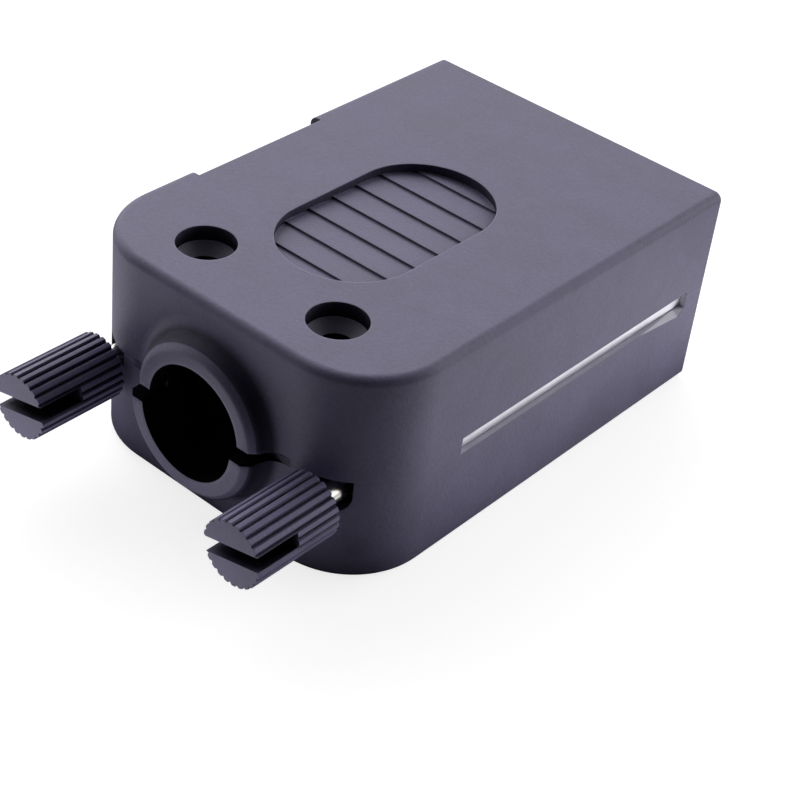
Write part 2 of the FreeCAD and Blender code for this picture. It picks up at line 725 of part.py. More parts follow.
def flange_plate(body, front):
    """A flange with rounded corners and a hole for each eyelet."""
    plate = cross_sketch(body, "flange", front)
    low = f"({SCREW_HEIGHT} - {FLANGE_TALL})"
    high = f"({SCREW_HEIGHT} + {FLANGE_TALL})"
    outline(plate, [
        (f"-{FLANGE_HALF}", low, "flange_corner"),
        (FLANGE_HALF, low, "flange_corner"),
        (FLANGE_HALF, high, "flange_corner"),
        (f"-{FLANGE_HALF}", high, "flange_corner"),
    ])
    pad(body, plate, "flange_sheet")
    holes = cross_sketch(body, "eyelet_holes", front)
    for centre in (f"(-{SCREW_SIDE})", SCREW_SIDE):
        circle(holes, centre, SCREW_HEIGHT, f"{EYELET_TUBE} + eyelet_play")
    pocket(body, holes, "flange_sheet", reverse=True)


def d_prism(body, name, start, length, grow, cut=False):
    """Add or remove a D shaped prism that runs towards the mating end."""
    shape = cross_sketch(body, name, start)
    outline(shape, d_corners(grow))
    if cut:
        return pocket(body, shape, length)
    return pad(body, shape, length, reverse=True)


def make_plug_shell():
    """Drawn D shaped shell with its flange."""
    body = new_body("plug_shell")
    flange_plate(body, FLANGE_FRONT)
    d_prism(body, "outside", FLANGE_FRONT, "d_reach", "flange_sheet")
    root = value(FLANGE_FRONT)
    reach = value(f"{D_WIDTH} / 2") + 1.0

    def is_root(edge):
        box = edge.BoundBox
        inside = max(abs(box.XMin), abs(box.XMax)) < reach
        return spans(box, YMin=root, YMax=root) and inside

    bevel_edges(body, "root", is_root, "d_root")
    d_prism(body, "inside", FLANGE_JOINT, "d_reach + flange_sheet", "0", cut=True)
    return body


def make_rear_shell():
    """Rear flange with the skirt that holds the rear insulator."""
    body = new_body("rear_shell")
    flange_plate(body, FLANGE_JOINT)
    start = f"({FLANGE_BACK} - skirt_depth)"
    d_prism(body, "outside", start, "skirt_depth", "flange_sheet")
    d_prism(body, "inside", start, "skirt_depth + flange_sheet", "0", cut=True)
    return body


def contact_places():
    """Across and above the middle for each contact, wide row first."""
    places = []
    for number in range(5):
        places.append((f"({number} - 2) * contact_pitch", "row_pitch / 2"))
    for number in range(4):
        places.append((f"({number} - 1.5) * contact_pitch", "-row_pitch / 2"))
    return places


def make_front_insulator():
    """Block in the D shaped shell, with a round hole for each pin."""
    body = new_body("front_insulator")
    d_prism(body, "block", INSULATOR_JOINT, "front_block", "-insulator_play")
    holes = cross_sketch(body, "pin_holes", INSULATOR_JOINT)
    for across, above in contact_places():
        circle(holes, across, f"{SCREW_HEIGHT} + {above}", "pin_diameter / 2 + pin_play")
    pocket(body, holes, "front_block")
    return body


def make_rear_insulator():
    """Block behind it, with a square hole for each contact's folded tail."""
    body = new_body("rear_insulator")
    d_prism(body, "block", INSULATOR_BACK, "rear_block", "-insulator_play")
    holes = cross_sketch(body, "tail_holes", INSULATOR_BACK)
    half = "(tail_width / 2 + pin_play)"
    for across, above in contact_places():
        middle = f"({SCREW_HEIGHT} + {above})"
        rectangle(
            holes, f"{across} - {half}", f"{across} + {half}", f"{middle} - {half}",
            f"{middle} + {half}",
        )
    pocket(body, holes, "rear_block")
    return body


def make_contact(number, across, above):
    """Stamped contact: round pin, folded square tail and an open trough for the wire."""
    body = new_body(f"contact_{number}")
    rear = f"({INSULATOR_BACK} - cup_reach)"
    half = "(tail_width / 2)"
    tail = cross_sketch(body, "tail", rear)
    rectangle(tail, f"-{half}", half, f"-{half}", half)
    pad(body, tail, f"{INSULATOR_JOINT} - {rear}", reverse=True)
    trough = cross_sketch(body, "trough", rear)
    inner = f"({half} - tail_wall)"
    rectangle(trough, f"-{inner}", inner, f"-{inner}", f"{half} + tail_wall")
    pocket(body, trough, "cup_depth")
    profile = level_sketch(body, "pin")
    pin = "(pin_diameter / 2)"
    tip = f"({FLANGE_FRONT} + pin_reach)"
    outline(profile, [
        ("0", INSULATOR_JOINT),
        (pin, INSULATOR_JOINT),
        (pin, f"{tip} - pin_nose"),
        (f"{pin} - pin_nose", tip),
        ("0", tip),
    ])
    revolve(body, profile)
    if above.startswith("-"):
        body.Placement.Rotation = FreeCAD.Rotation(Vector(0, 1, 0), 180)
    place(body, across, "0", f"{SCREW_HEIGHT} + {above}")
    return body


def make_eyelet(label, side):
    """Tubular rivet that joins both flanges round a thumbscrew."""
    body = new_body(label)
    profile = level_sketch(body, "turned")
    inside = EYELET_BORE
    tube = EYELET_TUBE
    head = EYELET_HEAD
    front = FLANGE_FRONT
    back = FLANGE_BACK
    outline(profile, [
        (inside, f"{back} - eyelet_rim"),
        (head, f"{back} - eyelet_rim"),
        (head, back),
        (tube, back),
        (tube, front),
        (head, front),
        (head, f"{front} + eyelet_rim"),
        (inside, f"{front} + eyelet_rim"),
    ])
    revolve(body, profile)
    place(body, f"{side} * {SCREW_SIDE}", "0", SCREW_HEIGHT)
    return body


def make_shank(label, side):
    """Steel shank: groove for the ring, thicker threaded end with a bevelled tip."""
    body = new_body(label)
    profile = level_sketch(body, "turned")
    radius = "(shank_diameter / 2)"
    groove = f"({radius} - groove_depth)"
    thread = "(thread_diameter / 2)"
    tip = f"({MATING_END} + tip_reach)"
    thread_back = f"({tip} - thread_length)"
    outline(profile, [
        ("0", f"{KNOB_FACE} - knob_socket"),
        (radius, f"{KNOB_FACE} - knob_socket"),
        (radius, f"{RING_BACK} - ring_play"),
        (groove, f"{RING_BACK} - ring_play"),
        (groove, f"{RING_FRONT} + ring_play"),
        (radius, f"{RING_FRONT} + ring_play"),
        (radius, thread_back),
        (thread, f"{thread_back} + {thread} - {radius}"),
        (thread, f"{tip} - tip_chamfer"),
        (f"{thread} - tip_chamfer", tip),
        ("0", tip),
    ])
    revolve(body, profile)
    place(body, f"{side} * {SCREW_SIDE}", "0", SCREW_HEIGHT)
    return body


def make_ring(label, side):
    """Open retaining ring that snaps into the shank's groove."""
    body = new_body(label)
    ring = cross_sketch(body, "ring", RING_BACK)
    groove = "(shank_diameter / 2 - groove_depth)"
    circle(ring, "0", "0", RING_OUTSIDE)
    circle(ring, "0", "0", f"{groove} + ring_play")
    pad(body, ring, "ring_sheet", reverse=True)
    mouth = cross_sketch(body, "mouth", RING_BACK)
    half = f"({groove} - ring_grip / 2)"
    rectangle(mouth, f"-{half}", half, f"-{RING_OUTSIDE} - 1", "0")
    pocket(body, mouth, "ring_sheet")
    place(body, f"{side} * {SCREW_SIDE}", "0", SCREW_HEIGHT)
    return body


def make_knob(label, side):
    """Moulded knob: fluted all round, with a deep slot for a screwdriver."""
    body = new_body(label)
    blank = cross_sketch(body, "blank", KNOB_FACE)
    circle(blank, "0", "0", "knob_diameter / 2")
    pad(body, blank, KNOB_LENGTH)
    end = f"({KNOB_FACE} - {KNOB_LENGTH})"
    flute = cross_sketch(body, "flute", end)
    outline(flute, [
        ("0", "knob_diameter / 2 - flute_depth"),
        ("flute_width", "knob_diameter / 2 + flute_depth"),
        ("-flute_width", "knob_diameter / 2 + flute_depth"),
    ])
    first = pocket(body, flute, KNOB_LENGTH)
    pattern = body.newObject("PartDesign::PolarPattern", "flutes")
    pattern.Originals = [first]
    pattern.Axis = (blank, ["N_Axis"])
    pattern.Angle = 360
    pattern.setExpression("Occurrences", formula("flute_count"))
    body.Tip = pattern
    doc.recompute()
    slot = cross_sketch(body, "driver_slot", end)
    slot.setExpression("AttachmentOffset.Rotation.Angle", formula("driver_turn"))
    slot.AttachmentOffset.Rotation.Axis = Vector(0, 0, 1)
    rectangle(slot, "-knob_diameter", "knob_diameter", "-driver_slot / 2", "driver_slot / 2")
    pocket(body, slot, "driver_depth")
    socket = cross_sketch(body, "socket", f"{KNOB_FACE} - knob_socket")
    circle(socket, "0", "0", "shank_diameter / 2 + knob_play")
    pocket(body, socket, "knob_socket")
    place(body, f"{side} * {SCREW_SIDE}", "0", SCREW_HEIGHT)
    return body


def check_document():
    """Stop if any object failed to build."""
    doc.recompute()
    for item in doc.Objects:
        if "Invalid" in item.State or "Error" in item.State:
            raise RuntimeError(f"{item.Name} did not build")


def write_part(body):
    """Check one piece and write it to its own file."""
    shape = body.Shape
    if shape.isNull() or not shape.isValid() or not shape.Solids:
        raise RuntimeError(f"{body.Label} has no valid solid")
    shape.exportStep(os.path.join("parts", body.Label + ".step"))
    print(f"{body.Label:24s} solids {len(shape.Solids)}  volume {shape.Volume:9.3f}")


pieces = [make_lower_shell(), make_upper_shell(), make_screen_liner()]
pieces += [make_plug_shell(), make_rear_shell(), make_front_insulator(), make_rear_insulator()]
for count, (across, above) in enumerate(contact_places(), start=1):
    pieces.append(make_contact(count, across, above))
for word, side in (("left", "-1"), ("right", "1")):
    pieces.append(make_eyelet(f"flange_eyelet_{word}", side))
    pieces.append(make_shank(f"thumbscrew_shank_{word}", side))
    pieces.append(make_ring(f"retaining_ring_{word}", side))
    pieces.append(make_knob(f"thumb_knob_{word}", side))

check_document()
os.makedirs("parts", exist_ok=True)
for piece in pieces:
    write_part(piece)
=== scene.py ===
# %% [markdown]
# # A small D-sub plug in a split plastic hood
#
# This lesson dresses a finished CAD model: a black plastic hood in two halves, two long
# thumbscrews with fluted knobs, and the metal and contacts at the mating end. The CAD
# gives every rigid form its place, so nothing here is fitted by eye. We add finishes,
# a screw thread, soft light, a floor and a camera.

# %% Load the frame
import math

import bmesh
import bpy
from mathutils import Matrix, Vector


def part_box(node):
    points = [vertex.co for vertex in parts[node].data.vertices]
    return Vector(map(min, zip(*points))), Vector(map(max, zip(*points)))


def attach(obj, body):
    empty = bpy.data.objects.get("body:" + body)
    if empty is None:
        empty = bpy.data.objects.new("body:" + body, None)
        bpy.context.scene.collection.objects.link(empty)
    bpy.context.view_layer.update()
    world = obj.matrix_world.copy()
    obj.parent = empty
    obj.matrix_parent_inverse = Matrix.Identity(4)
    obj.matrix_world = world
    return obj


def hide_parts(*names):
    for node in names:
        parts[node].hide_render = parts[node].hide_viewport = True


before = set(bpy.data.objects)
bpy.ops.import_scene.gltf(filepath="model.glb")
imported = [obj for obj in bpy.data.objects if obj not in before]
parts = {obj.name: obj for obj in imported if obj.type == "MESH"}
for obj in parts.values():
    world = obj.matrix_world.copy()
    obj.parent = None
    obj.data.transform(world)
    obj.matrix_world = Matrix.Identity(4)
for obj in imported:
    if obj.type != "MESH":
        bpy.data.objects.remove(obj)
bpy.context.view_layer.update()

MM = 0.001
print("CAD nodes:", len(parts))

# %% [markdown]
# ## Small helpers for node trees
#
# Every finish below is a tree of shader nodes. Writing such a tree by hand in Python is
# wordy, so a few helpers keep it readable: one adds a node and sets its sockets by name,
# one joins two sockets, and the rest do sums on values. Where a helper takes a value
# that another node puts out, it takes a pair: that node and the name of its output.

# %% Helpers for node trees
def add(tree, kind, settings=None, **sockets):
    """Add a node; settings are its own properties, sockets its input values."""
    node = tree.nodes.new("ShaderNode" + kind)
    for name, value in (settings or {}).items():
        setattr(node, name, value)
    for name, value in sockets.items():
        node.inputs[name.replace("_", " ")].default_value = value
    return node


def join(tree, start, out_name, end, in_name):
    """Join one node's output to another node's input."""
    source = start.outputs[out_name]
    target = end.inputs[in_name]
    tree.links.new(source, target)


def math_node(tree, operation, first=None, second=None, clamp=False):
    """A Math node; first and second are numbers or (node, output) pairs."""
    node = add(tree, "Math", {"operation": operation, "use_clamp": clamp})
    for index, value in enumerate((first, second)):
        if isinstance(value, tuple):
            tree.links.new(value[0].outputs[value[1]], node.inputs[index])
        elif value is not None:
            node.inputs[index].default_value = value
    return node


def fade_in(tree, source, out_name, start, full):
    """0 at a start, 1 at a full value, smooth between; the start may be the larger one."""
    node = add(tree, "MapRange", {"interpolation_type": "SMOOTHSTEP"})
    node.inputs["From Min"].default_value = start
    node.inputs["From Max"].default_value = full
    join(tree, source, out_name, node, "Value")
    return node


print("node helpers ready")


# %% Helpers for sums of several values
def chain(tree, operation, first, *others):
    """Add, multiply or compare several values one after the other."""
    total = first
    for value in others:
        total = (math_node(tree, operation, total, value), "Value")
    return total


def flat_length(tree, first, second):
    """The length of a vector with these two coordinates."""
    squares = [(math_node(tree, "MULTIPLY", value, value), "Value") for value in (first, second)]
    total = chain(tree, "ADD", *squares)
    return (math_node(tree, "SQRT", total), "Value")


print("sum helpers ready")

# %% [markdown]
# ## Shared effects
#
# Moulded plastic and plated metal share a few effects. Each becomes a node group with
# named inputs and outputs, built once. A group only puts out masks, heights and
# normals; the shader itself stays in the material, where its plain values are easy to
# find.

# %% A helper that starts a group
def new_group(name, inputs, outputs):
    """Start a shader group; inputs map a name to its default, outputs to a kind of socket."""
    tree = bpy.data.node_groups.new(name, "ShaderNodeTree")
    for label, default in inputs.items():
        socket = tree.interface.new_socket(label, in_out="INPUT", socket_type="NodeSocketFloat")
        socket.default_value = default
    for label, kind in outputs.items():
        tree.interface.new_socket(label, in_out="OUTPUT", socket_type="NodeSocket" + kind)
    source = tree.nodes.new("NodeGroupInput")
    sink = tree.nodes.new("NodeGroupOutput")
    return tree, source, sink


print("group helper ready")

# %% [markdown]
# ### Moulded grain
#
# The steel mould of such a hood is spark eroded, so the plastic copies a fine, even
# grain of two or three tenths of a millimetre. Two noise textures do it: one for the grain
# and a much larger one for the slow changes in sheen where the plastic flowed and
# cooled. Object coordinates are in metres here, so the grain's size can be stated
# as it is on the real part.

# %% Moulded grain
def build_moulded_grain():
    tree, source, sink = new_group(
        "moulded_grain",
        {"Grain Size": 0.12 * MM, "Flow Size": 6 * MM},
        {"Height": "Float", "Flow": "Float"},
    )
    place = add(tree, "TexCoord")
    grain_scale = math_node(tree, "DIVIDE", 1.0, (source, "Grain Size"))
    flow_scale = math_node(tree, "DIVIDE", 1.0, (source, "Flow Size"))
    grain = add(tree, "TexNoise", Detail=2.0, Roughness=0.55)
    flow = add(tree, "TexNoise", Detail=3.0, Roughness=0.6, Distortion=0.4)
    join(tree, place, "Object", grain, "Vector")
    join(tree, place, "Object", flow, "Vector")
    join(tree, grain_scale, "Value", grain, "Scale")
    join(tree, flow_scale, "Value", flow, "Scale")
    join(tree, grain, "Fac", sink, "Height")
    join(tree, flow, "Fac", sink, "Flow")
    return tree


moulded_grain = build_moulded_grain()
print("group:", moulded_grain.name)

# %% [markdown]
# ### Soft edges
#
# No moulded or stamped edge is truly sharp. The Bevel node bends the normal near an
# edge, so a thin line of light runs along it without more faces. Where that normal
# leaves the flat one there is an edge, and this gives a mask along which the colour is
# made paler.

# %% Soft edges
EDGE_GAIN = 6.0


def build_soft_edges():
    tree, source, sink = new_group(
        "soft_edges", {"Radius": 0.15 * MM}, {"Normal": "Vector", "Edge": "Float"}
    )
    bevel = add(tree, "Bevel", {"samples": 6})
    join(tree, source, "Radius", bevel, "Radius")
    flat = add(tree, "NewGeometry")
    compare = add(tree, "VectorMath", {"operation": "DOT_PRODUCT"})
    join(tree, bevel, "Normal", compare, 0)
    join(tree, flat, "Normal", compare, 1)
    away = math_node(tree, "SUBTRACT", 1.0, (compare, "Value"), clamp=True)
    edge = math_node(tree, "MULTIPLY", (away, "Value"), EDGE_GAIN, clamp=True)
    join(tree, bevel, "Normal", sink, "Normal")
    join(tree, edge, "Value", sink, "Edge")
    return tree


soft_edges = build_soft_edges()
print("group:", soft_edges.name)

# %% [markdown]
# ### Painted shade in deep places
#
# Little light gets out of the cable entry, the screw holes and the flutes of the knobs, so
# their shade is painted into the colour. The Ambient Occlusion node says how much of its own
# surroundings a point sees within a reach, and this gives a mask that is 0 where the
# point is shut in and 1 where it is clear. Ledge Light keeps faces that look up out of the
# painted shade, so they stay lighter.

# %% Painted shade in deep places
LOOKING_UP = (0.4, 0.9)


def build_painted_deep_shade():
    tree, source, sink = new_group(
        "painted_deep_shade",
        {"Reach": 8 * MM, "Shut": 0.3, "Clear": 0.9, "Ledge Light": 0.0},
        {"Open": "Float"},
    )
    around = add(tree, "AmbientOcclusion", {"samples": 4, "only_local": True})
    join(tree, source, "Reach", around, "Distance")
    seen = add(tree, "MapRange", {"interpolation_type": "SMOOTHSTEP"})
    join(tree, source, "Shut", seen, "From Min")
    join(tree, source, "Clear", seen, "From Max")
    join(tree, around, "AO", seen, "Value")
    place = add(tree, "NewGeometry")
    split = add(tree, "SeparateXYZ")
    join(tree, place, "Normal", split, "Vector")
    upward = fade_in(tree, split, "Z", *LOOKING_UP)
    ledge = math_node(tree, "MULTIPLY", (upward, "Result"), (source, "Ledge Light"))
    either = math_node(tree, "MAXIMUM", (ledge, "Value"), (seen, "Result"))
    join(tree, either, "Value", sink, "Open")
    return tree


painted_deep_shade = build_painted_deep_shade()
print("group:", painted_deep_shade.name)

# %% [markdown]
# ### Places on the hood
#
# A few places on the hood need a treatment of their own. The wall of the cable entry and
# the gap between the collar's halves get painted shade, and so does a part of the valley
# round the collar. The faces inside the slot along the side, and the shoulders that the
# screw heads press on, get painted light: a pale colour. The steps of the grip recess are
# too shallow to stay as dark as a hole, so their painted shade is kept lighter. The
# collar's rim has a much softer edge than the rest.
#
# Each place has a list of limits in millimetres: what is looked at, where the mask starts
# to rise from 0, and where it reaches 1. The place is where all its limits hold.

# %% Limits of the places on the hood
BORE_HEIGHT = 10.3 * MM
RECESS_CENTRE = -3.2 * MM
RECESS_STRAIGHT = 4.8 * MM
HOOD_PLACES = {
    "entry": [("from bore", 5.18, 5.12)],
    "gap": [("off split", 0.44, 0.42), ("y", -23.98, -24.02)],
    "valley": [("from bore", 6.8, 6.95), ("from bore", 9.2, 7.75), ("y", -24.0, -24.5)],
    "slot": [
        ("aside", 16.99, 16.96), ("aside", 15.1, 15.2), ("z", 8.4, 8.45), ("z", 10.7, 10.65),
        ("y", -16.0, -15.0), ("y", 23.7, 23.5),
    ],
    "shoulder": [("y", -21.0, -20.9), ("y", -14.5, -14.6), ("z", 14.0, 14.1), ("z", 20.0, 19.9)],
    "recess": [("z", 18.0, 18.1), ("from recess", 6.48, 6.3)],
    "rim": [("y", -24.6, -25.2)],
}
VALLEY_SHADE = 0.7
RECESS_OPEN = 0.6
FACING_UP = (0.7, 0.9)
SOFT_EDGE = 0.18 * MM
SOFT_RIM = 0.7 * MM
print("places on the hood:", ", ".join(HOOD_PLACES))


# %% Masks for the places on the hood
def measure_place(tree, position):
    """What the limits look at: coordinates and distances of a point of the hood."""
    rise = (math_node(tree, "SUBTRACT", (position, "Z"), BORE_HEIGHT), "Value")
    along = (math_node(tree, "SUBTRACT", (position, "Y"), RECESS_CENTRE), "Value")
    along = (math_node(tree, "ABSOLUTE", along), "Value")
    past_straight = chain(tree, "SUBTRACT", along, RECESS_STRAIGHT)
    past_straight = chain(tree, "MAXIMUM", past_straight, 0.0)
    return {
        "y": (position, "Y"),
        "z": (position, "Z"),
        "aside": (math_node(tree, "ABSOLUTE", (position, "X")), "Value"),
        "off split": (math_node(tree, "ABSOLUTE", rise), "Value"),
        "from bore": flat_length(tree, (position, "X"), rise),
        "from recess": flat_length(tree, (position, "X"), past_straight),
    }


def place_mask(tree, measures, name):
    """1 at a place of the hood, 0 away from it."""
    limits = [
        (fade_in(tree, *measures[measure], start * MM, full * MM), "Result")
        for measure, start, full in HOOD_PLACES[name]
    ]
    return chain(tree, "MULTIPLY", *limits)


# %% The group of the hood's places
def build_hood_places():
    # The masks say where shade is painted, where a pale colour is painted as light, where the
    # recess's painted shade is lifted, and how soft the edges are.
    outputs = ("Shade", "Painted Light", "Shallow", "Edge Radius")
    tree, source, sink = new_group("hood_places", {}, dict.fromkeys(outputs, "Float"))
    point = add(tree, "NewGeometry")
    position = add(tree, "SeparateXYZ")
    normal = add(tree, "SeparateXYZ")
    join(tree, point, "Position", position, "Vector")
    join(tree, point, "Normal", normal, "Vector")
    measures = measure_place(tree, position)
    masks = {name: place_mask(tree, measures, name) for name in HOOD_PLACES}
    upward = (fade_in(tree, normal, "Z", *FACING_UP), "Result")
    valley = chain(tree, "MULTIPLY", masks["valley"], VALLEY_SHADE)
    shoulder = chain(tree, "MULTIPLY", upward, masks["shoulder"])
    softer = chain(tree, "MULTIPLY", masks["rim"], SOFT_RIM - SOFT_EDGE)
    results = (
        chain(tree, "MAXIMUM", masks["entry"], masks["gap"], valley),
        chain(tree, "MAXIMUM", masks["slot"], shoulder),
        chain(tree, "MULTIPLY", masks["recess"], RECESS_OPEN),
        chain(tree, "ADD", softer, SOFT_EDGE),
    )
    for name, result in zip(outputs, results):
        join(tree, *result, sink, name)
    return tree


hood_places = build_hood_places()
print("group:", hood_places.name)

# %% [markdown]
# ### Lint
#
# Black plastic shows every grain of dust. A cell pattern of which only the very middle of
# each cell is kept leaves small pale specks, far apart. The two radii are shares of a
# cell: where a speck starts and where it is at its palest.

# %% Lint
SPECK_RADII = (0.09, 0.03)


def build_lint():
    tree, source, sink = new_group(
        "lint", {"Spacing": 1.6 * MM, "Amount": 0.5}, {"Specks": "Float"}
    )
    place = add(tree, "TexCoord")
    scale = math_node(tree, "DIVIDE", 1.0, (source, "Spacing"))
    cells = add(tree, "TexVoronoi", Randomness=1.0)
    join(tree, place, "Object", cells, "Vector")
    join(tree, scale, "Value", cells, "Scale")
    near_centre = fade_in(tree, cells, "Distance", *SPECK_RADII)
    specks = math_node(tree, "MULTIPLY", (near_centre, "Result"), (source, "Amount"))
    join(tree, specks, "Value", sink, "Specks")
    return tree


lint = build_lint()
print("group:", lint.name)

# %% [markdown]
# ### Fine scratches
#
# Plated metal carries hair lines from tumbling and handling. Noise that is squeezed
# along one direction makes them. The inputs say how wide a line is and how much longer
# than wide.

# %% Fine scratches
CLOUD_SCALE = 400.0


def build_hair_lines():
    tree, source, sink = new_group(
        "hair_lines", {"Width": 0.05 * MM, "Stretch": 30.0}, {"Lines": "Float", "Cloud": "Float"}
    )
    place = add(tree, "TexCoord")
    squeeze = add(tree, "CombineXYZ", X=1.0, Z=1.0)
    along = math_node(tree, "DIVIDE", 1.0, (source, "Stretch"))
    join(tree, along, "Value", squeeze, "Y")
    stretched = add(tree, "VectorMath", {"operation": "MULTIPLY"})
    join(tree, place, "Object", stretched, 0)
    join(tree, squeeze, "Vector", stretched, 1)
    scale = math_node(tree, "DIVIDE", 1.0, (source, "Width"))
    lines = add(tree, "TexNoise", Detail=3.0, Roughness=0.7)
    join(tree, stretched, "Vector", lines, "Vector")
    join(tree, scale, "Value", lines, "Scale")
    cloud = add(tree, "TexNoise", Scale=CLOUD_SCALE, Detail=2.0, Roughness=0.5)
    join(tree, place, "Object", cloud, "Vector")
    join(tree, lines, "Fac", sink, "Lines")
    join(tree, cloud, "Fac", sink, "Cloud")
    return tree


hair_lines = build_hair_lines()
print("group:", hair_lines.name)

# %% [markdown]
# ## Plastic finishes
#
# The hood, the knobs and the insulator blocks are all black plastic, but not the same
# black. One function builds the tree and takes what differs: colour, roughness, the
# depth and size of the grain, and how pale the edges are. The base colour moves a
# little between two tones along the flow of the plastic.

# %% Helpers for materials
NOISE_MIDDLE = (0.3, 0.7)


def place_group(tree, group, **values):
    """Put a shared group into a material with its own input values."""
    node = tree.nodes.new("ShaderNodeGroup")
    node.node_tree = group
    for name, value in values.items():
        node.inputs[name.replace("_", " ")].default_value = value
    return node


def start_material(name):
    """A material with an empty tree, one Principled shader and its output."""
    material = bpy.data.materials.new(name)
    material.use_nodes = True
    tree = material.node_tree
    tree.nodes.clear()
    shader = add(tree, "BsdfPrincipled")
    output = tree.nodes.new("ShaderNodeOutputMaterial")
    join(tree, shader, "BSDF", output, "Surface")
    return material, tree, shader


def spread(tree, source, out_name, low, high):
    """Spread the middle of a noise over a range of values."""
    low_noise, high_noise = NOISE_MIDDLE
    node = add(
        tree, "MapRange", From_Min=low_noise, From_Max=high_noise, To_Min=low, To_Max=high
    )
    join(tree, source, out_name, node, "Value")
    return node


def mix_colour(tree, factor, first, second):
    """The output of a mix of two colours; each is a colour or another node's output."""
    node = add(tree, "Mix", {"data_type": "RGBA"})
    tree.links.new(factor[0].outputs[factor[1]], node.inputs["Factor"])
    for name, value in (("A", first), ("B", second)):
        socket = next(s for s in node.inputs if s.name == name and s.type == "RGBA")
        if isinstance(value, bpy.types.NodeSocket):
            tree.links.new(value, socket)
        else:
            socket.default_value = (*value, 1.0)
    return next(s for s in node.outputs if s.type == "RGBA")


def bend_normal(tree, height, depth, edges, shader):
    """Bump the soft edges' normal with a height and send it to the shader."""
    bump = add(tree, "Bump", Strength=1.0, Distance=depth)
    join(tree, *height, bump, "Height")
    join(tree, edges, "Normal", bump, "Normal")
    join(tree, bump, "Normal", shader, "Normal")


print("material helpers ready")

# %% Colours and shine that the plastics share
# Painted shade: deep and shut places get this near black in place of the shade they lie in.
PAINTED_SHADE_COLOUR = (0.006, 0.005, 0.008)
DUST_COLOUR = (0.45, 0.44, 0.46)
# Painted light: a pale colour on the hood's slot faces and screw-hole shoulders, standing in for
# the light they catch.
PAINTED_LIGHT_COLOUR = (0.6, 0.58, 0.68)
DUST_AMOUNT = 0.1
PLASTIC_SHINE = 0.42
FLOW_TONES = (-0.25, 0.75)
GRAIN_TONES = (0.0, 0.5)


def treat_places(tree, edges, colour, open_mask):
    """Paint light on the hood's pale places, paint shade on its shut ones and soften its rim."""
    places = place_group(tree, hood_places)
    join(tree, places, "Edge Radius", edges, "Radius")
    pale = mix_colour(tree, (places, "Painted Light"), colour, PAINTED_LIGHT_COLOUR)
    lit = chain(tree, "MAXIMUM", open_mask, (places, "Painted Light"), (places, "Shallow"))
    free = chain(tree, "SUBTRACT", 1.0, (places, "Shade"))
    return pale, chain(tree, "MULTIPLY", lit, free)


def plastic(name, dark, light, edge, rough, grain_size, grain_depth, edge_radius, deep,
            places=False):
    """Black moulded plastic with grain, slow changes in sheen, soft edges and painted shade in its
    depths.
    """
    material, tree, shader = start_material(name)
    grain = place_group(tree, moulded_grain, Grain_Size=grain_size)
    edges = place_group(tree, soft_edges, Radius=edge_radius)
    specks = place_group(tree, lint, Amount=DUST_AMOUNT)
    depth = place_group(tree, painted_deep_shade, **deep)
    flow = spread(tree, grain, "Flow", *FLOW_TONES)
    speckle = spread(tree, grain, "Height", *GRAIN_TONES)
    tone = math_node(tree, "ADD", (flow, "Result"), (speckle, "Result"), clamp=True)
    toned = mix_colour(tree, (tone, "Value"), dark, light)
    edged = mix_colour(tree, (edges, "Edge"), toned, edge)
    colour = mix_colour(tree, (specks, "Specks"), edged, DUST_COLOUR)
    sheen = spread(tree, grain, "Flow", *rough)
    join(tree, sheen, "Result", shader, "Roughness")
    bend_normal(tree, (grain, "Height"), grain_depth, edges, shader)
    open_mask = (depth, "Open")
    if places:
        colour, open_mask = treat_places(tree, edges, colour, open_mask)
    # Painted shade: where the open mask is low, the base colour goes to near black and the specular
    # level drops.
    shaded = mix_colour(tree, open_mask, PAINTED_SHADE_COLOUR, colour)
    tree.links.new(shaded, shader.inputs["Base Color"])
    join(tree, *chain(tree, "MULTIPLY", open_mask, PLASTIC_SHINE), shader, "Specular IOR Level")
    return material


print("plastic finish ready")

# %% The three plastics
hood_plastic = plastic(
    "hood_plastic",
    dark=(0.134, 0.12, 0.208), light=(0.18, 0.163, 0.276), edge=(0.27, 0.25, 0.37),
    rough=(0.5, 0.58), grain_size=0.3 * MM, grain_depth=0.03 * MM, edge_radius=SOFT_EDGE,
    deep={"Reach": 8 * MM, "Shut": 0.36, "Clear": 0.94, "Ledge_Light": 0.8}, places=True,
)
knob_plastic = plastic(
    "knob_plastic",
    dark=(0.14, 0.125, 0.235), light=(0.21, 0.19, 0.33), edge=(0.26, 0.24, 0.38),
    rough=(0.42, 0.55), grain_size=0.22 * MM, grain_depth=0.02 * MM, edge_radius=0.06 * MM,
    deep={"Reach": 4 * MM, "Shut": 0.5, "Clear": 0.98},
)
insulator_plastic = plastic(
    "insulator_plastic",
    dark=(0.022, 0.022, 0.025), light=(0.03, 0.03, 0.034), edge=(0.06, 0.06, 0.065),
    rough=(0.45, 0.6), grain_size=0.2 * MM, grain_depth=0.004 * MM, edge_radius=0.08 * MM,
    deep={"Reach": 1 * MM, "Shut": 0.2, "Clear": 0.8},
)
print("plastics:", hood_plastic.name, knob_plastic.name, insulator_plastic.name)

# %% [markdown]
# ## Metal finishes
#
# The shells are drawn steel with a bright tin plate, the thumbscrews are nickel plated
# and the contacts carry a thin gold flash. All are full metals: the base colour is the
# colour of the reflection, hair lines change its roughness and clouds its tone.

